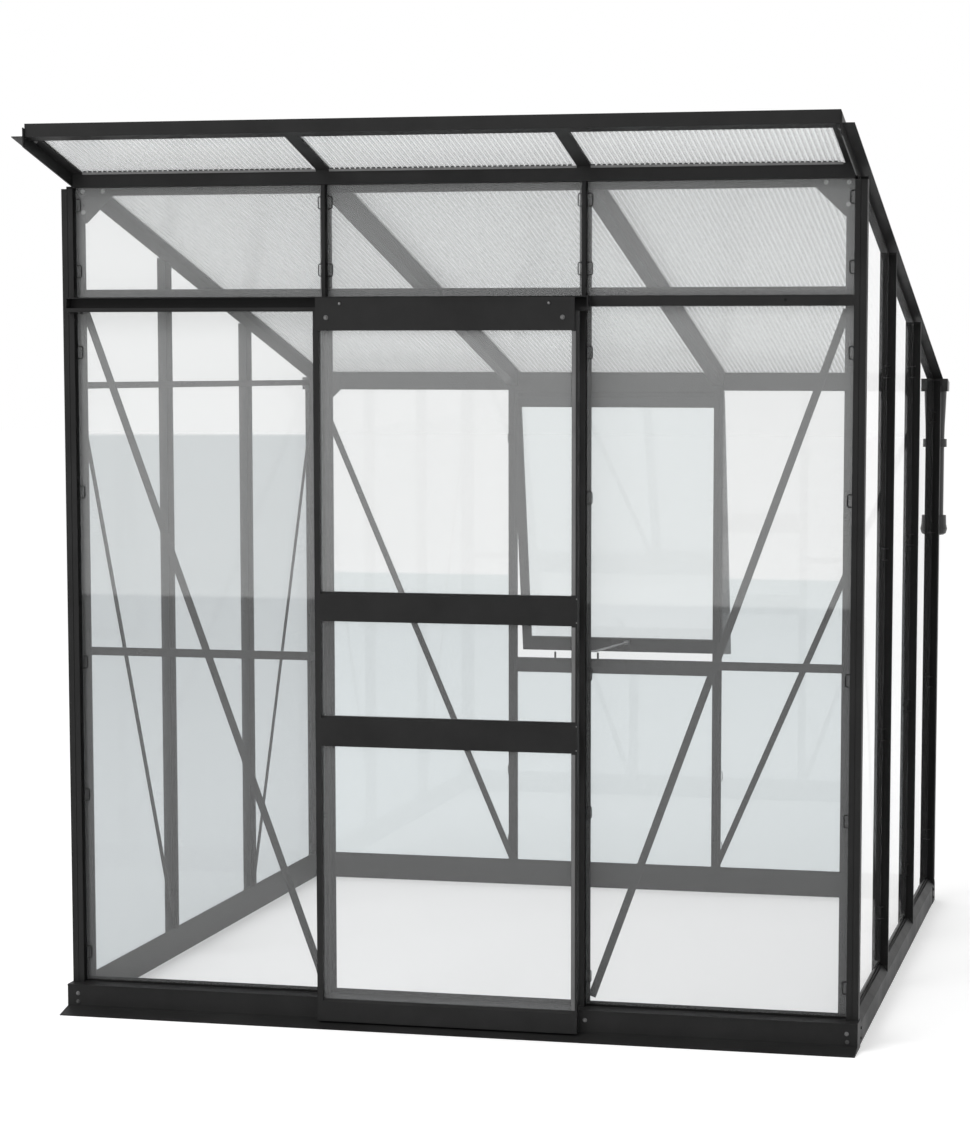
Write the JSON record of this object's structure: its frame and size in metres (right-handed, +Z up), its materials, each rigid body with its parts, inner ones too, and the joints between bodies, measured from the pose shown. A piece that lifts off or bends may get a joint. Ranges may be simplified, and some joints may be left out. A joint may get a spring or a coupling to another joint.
{
  "type": "lean to greenhouse",
  "caption": "Lean-to greenhouse with a black frame, glass walls, a sloping twin-wall roof, a sliding door, a propped top-hung window, a gutter and downpipes.",
  "frame": {"origin": "on the ground under the centre of the bounding box", "axes": "+X runs along the tall front wall to the right as seen from outside it, +Y runs from the front wall to the low rear wall, +Z is up"},
  "size_m": [1.958, 2.3374, 2.109],
  "materials": {
    "black_coating": "black powder coating on aluminium, low sheen",
    "dark_steel": "dark coated steel",
    "black_plastic": "black moulded plastic, satin",
    "nylon": "grey nylon",
    "clear_glass": "clear horticultural glass",
    "twin_wall_sheet": "clear twin-wall sheet with fine flutes running down the slope"
  },
  "bodies": {
    "frame": {"base_front": "black_coating", "base_rear": "black_coating", "base_left": "black_coating", "base_right": "black_coating", "post_front_left": "black_coating", "post_rear_left": "black_coating", "post_front_right": "black_coating", "post_rear_right": "black_coating", "header": "black_coating", "mullion_left": "black_coating", "mullion_right": "black_coating", "transom_rail": "black_coating", "brace_front_left": "black_coating", "brace_front_right": "black_coating", "bar_left_front": "black_coating", "bar_left_rear": "black_coating", "side_rail_left": "black_coating", "bar_right_front": "black_coating", "bar_right_rear": "black_coating", "side_rail_right": "black_coating", "eaves_rail": "black_coating", "bar_rear_left": "black_coating", "bar_rear_right": "black_coating", "window_rail": "black_coating", "rafter_left": "black_coating", "rafter_right": "black_coating", "verge_left": "black_coating", "verge_right": "black_coating", "fascia": "black_coating", "door_track": "black_coating", "sheet_left": "twin_wall_sheet", "sheet_middle": "twin_wall_sheet", "sheet_right": "twin_wall_sheet", "gutter": "black_plastic", "downpipe_left": "black_plastic", "downpipe_right": "black_plastic", "pane_front_left": "clear_glass", "pane_front_right": "clear_glass", "pane_transom_left": "clear_glass", "pane_transom_middle": "clear_glass", "pane_transom_right": "clear_glass", "pane_rear_left": "clear_glass", "pane_rear_middle": "clear_glass", "pane_rear_right": "clear_glass", "pane_left_1": "clear_glass", "pane_left_2": "clear_glass", "pane_left_3": "clear_glass", "pane_right_1": "clear_glass", "pane_right_2": "clear_glass", "pane_right_3": "clear_glass"},
    "door": {"door_frame": "black_coating", "door_hanger": "black_coating", "door_pane_1": "clear_glass", "door_pane_2": "clear_glass", "door_pane_3": "clear_glass"},
    "roller_left": {"roller_left": "nylon"},
    "roller_right": {"roller_right": "nylon"},
    "window": {"sash_frame": "black_coating", "sash_pane": "clear_glass"},
    "stay": {"window_stay": "dark_steel"}
  },
  "joints": [
    {"name": "door_slide", "type": "slide", "parent": "frame", "child": "door", "axis": [-1, 0, 0], "range_m": [0, 0.6]},
    {"name": "roller_left_turn", "type": "hinge", "parent": "door", "child": "roller_left", "pos_m": [-0.254, -0.90579, 1.705], "axis": [0, -1, 0], "continuous": true},
    {"name": "roller_right_turn", "type": "hinge", "parent": "door", "child": "roller_right", "pos_m": [0.244, -0.90579, 1.705], "axis": [0, -1, 0], "continuous": true},
    {"name": "window_hinge", "type": "hinge", "parent": "frame", "child": "window", "pos_m": [0, 1.01501, 1.48426], "axis": [1, 0, 0], "range_deg": [-10.6, 25]},
    {"name": "stay_lift", "type": "hinge", "parent": "window", "child": "stay", "pos_m": [0.005, 1.13823, 0.72801], "axis": [-1, 0, 0], "range_deg": [0, 70]}
  ],
  "couplings": [
    {"joint": "roller_left_turn", "follows": "door_slide", "rad_per_m": 70.422},
    {"joint": "roller_right_turn", "follows": "door_slide", "rad_per_m": 70.422}
  ]
}
